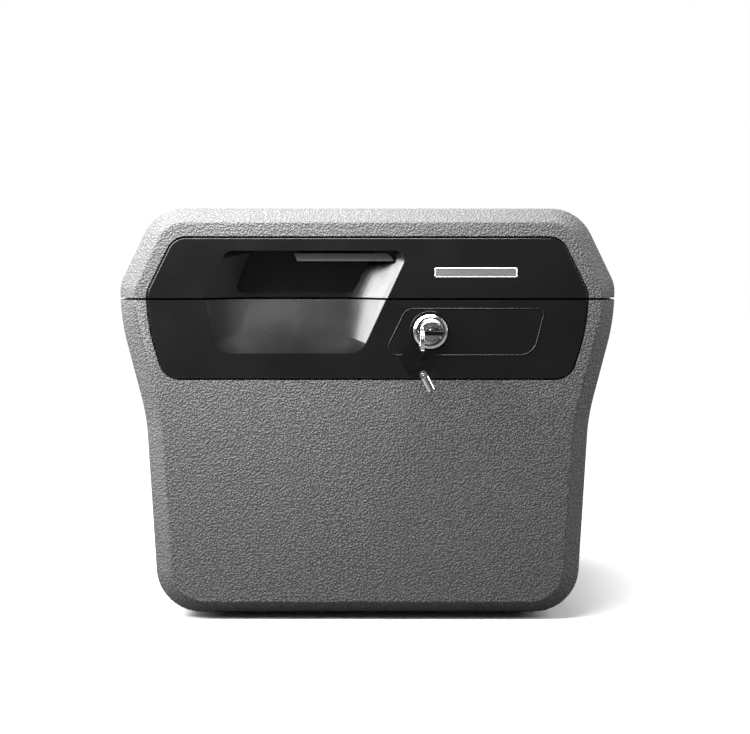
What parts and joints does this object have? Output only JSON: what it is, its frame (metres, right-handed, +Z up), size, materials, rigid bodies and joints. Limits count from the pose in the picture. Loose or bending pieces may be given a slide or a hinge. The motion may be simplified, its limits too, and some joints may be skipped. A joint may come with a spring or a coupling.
{
  "type": "fireproof document box",
  "caption": "Key-locked fire-resistant chest for hanging letter folders, with a hinged insulated lid, a black front bezel with a finger scoop and latch, and keys on a ring.",
  "frame": {"origin": "on the floor, under the middle of the whole object's box", "axes": "+X to the right seen from the front, +Y to the back, +Z up; the front with the lock faces -Y"},
  "size_m": [0.4224, 0.3884, 0.353],
  "materials": {
    "grained_grey": "moulded plastic with a pebbled grain, matt",
    "satin_black": "smooth moulded plastic, satin",
    "liner_grey": "smooth moulded plastic, matt",
    "cast_insulation": "cast mineral fire insulation, rough",
    "chrome": "polished chrome plate",
    "zinc_steel": "bright zinc-plated steel",
    "black_steel": "black coated steel",
    "latch_grey": "grey moulded plastic, satin",
    "key_black": "black moulded plastic, semi-gloss",
    "plate_silver": "brushed aluminium",
    "seal_rubber": "black rubber, matt"
  },
  "bodies": {
    "body": {"body_shell": "grained_grey", "body_insulation": "cast_insulation", "body_liner": "liner_grey", "lower_bezel": "satin_black", "lock_housing": "chrome", "lock_nut": "zinc_steel", "latch_keeper": "zinc_steel", "keeper_screw_left": "zinc_steel", "keeper_screw_right": "zinc_steel", "file_rail_left": "zinc_steel", "file_rail_right": "zinc_steel", "hinge_body_leaf_left": "black_steel", "hinge_body_leaf_right": "black_steel", "hinge_pin_left": "zinc_steel", "hinge_pin_right": "zinc_steel", "hinge_body_screw_left_a": "black_steel", "hinge_body_screw_left_b": "black_steel", "hinge_body_screw_right_a": "black_steel", "hinge_body_screw_right_b": "black_steel", "foot_front_left": "seal_rubber", "foot_front_right": "seal_rubber", "foot_rear_left": "seal_rubber", "foot_rear_right": "seal_rubber"},
    "lid": {"lid_shell": "grained_grey", "lid_insulation": "cast_insulation", "lid_liner": "liner_grey", "gasket": "seal_rubber", "upper_bezel": "satin_black", "nameplate": "plate_silver", "lid_striker": "zinc_steel", "striker_screw_left": "zinc_steel", "striker_screw_right": "zinc_steel", "latch_pin": "zinc_steel", "latch_spring": "zinc_steel", "hinge_lid_leaf_left": "black_steel", "hinge_lid_leaf_right": "black_steel", "hinge_lid_screw_left_a": "black_steel", "hinge_lid_screw_left_b": "black_steel", "hinge_lid_screw_right_a": "black_steel", "hinge_lid_screw_right_b": "black_steel"},
    "latch": {"latch_lever": "latch_grey"},
    "plug": {"lock_plug": "chrome", "lock_cam": "zinc_steel", "cam_screw": "zinc_steel", "key_barrel": "chrome", "key_bow": "key_black"},
    "ring": {"key_ring": "chrome"},
    "spare_key": {"spare_key_barrel": "chrome", "spare_key_bow": "key_black"}
  },
  "joints": [
    {"name": "lid_hinge", "type": "hinge", "parent": "body", "child": "lid", "pos_m": [0, 0.19123, 0.2765], "axis": [-1, 0, 0], "range_deg": [0, 95]},
    {"name": "latch_lift", "type": "hinge", "parent": "lid", "child": "latch", "pos_m": [0, -0.12127, 0.3125], "axis": [-1, 0, 0], "range_deg": [0, 8], "stiffness_Nm_per_rad": 0.3, "springref_deg": -14.32},
    {"name": "key_turn", "type": "hinge", "parent": "body", "child": "plug", "pos_m": [0.0534, -0.15627, 0.249], "axis": [0, 1, 0], "range_deg": [0, 90]},
    {"name": "ring_swing", "type": "hinge", "parent": "plug", "child": "ring", "pos_m": [0.0458, -0.18422, 0.249], "axis": [1, 0, 0], "range_deg": [-18, 18]},
    {"name": "spare_key_swing", "type": "hinge", "parent": "ring", "child": "spare_key", "pos_m": [0.0458, -0.18422, 0.23355], "axis": [0, 1, 0], "range_deg": [-95, 20]}
  ],
  "couplings": [
    {"joint": "spare_key_swing", "follows": "key_turn", "ratio": -1}
  ]
}
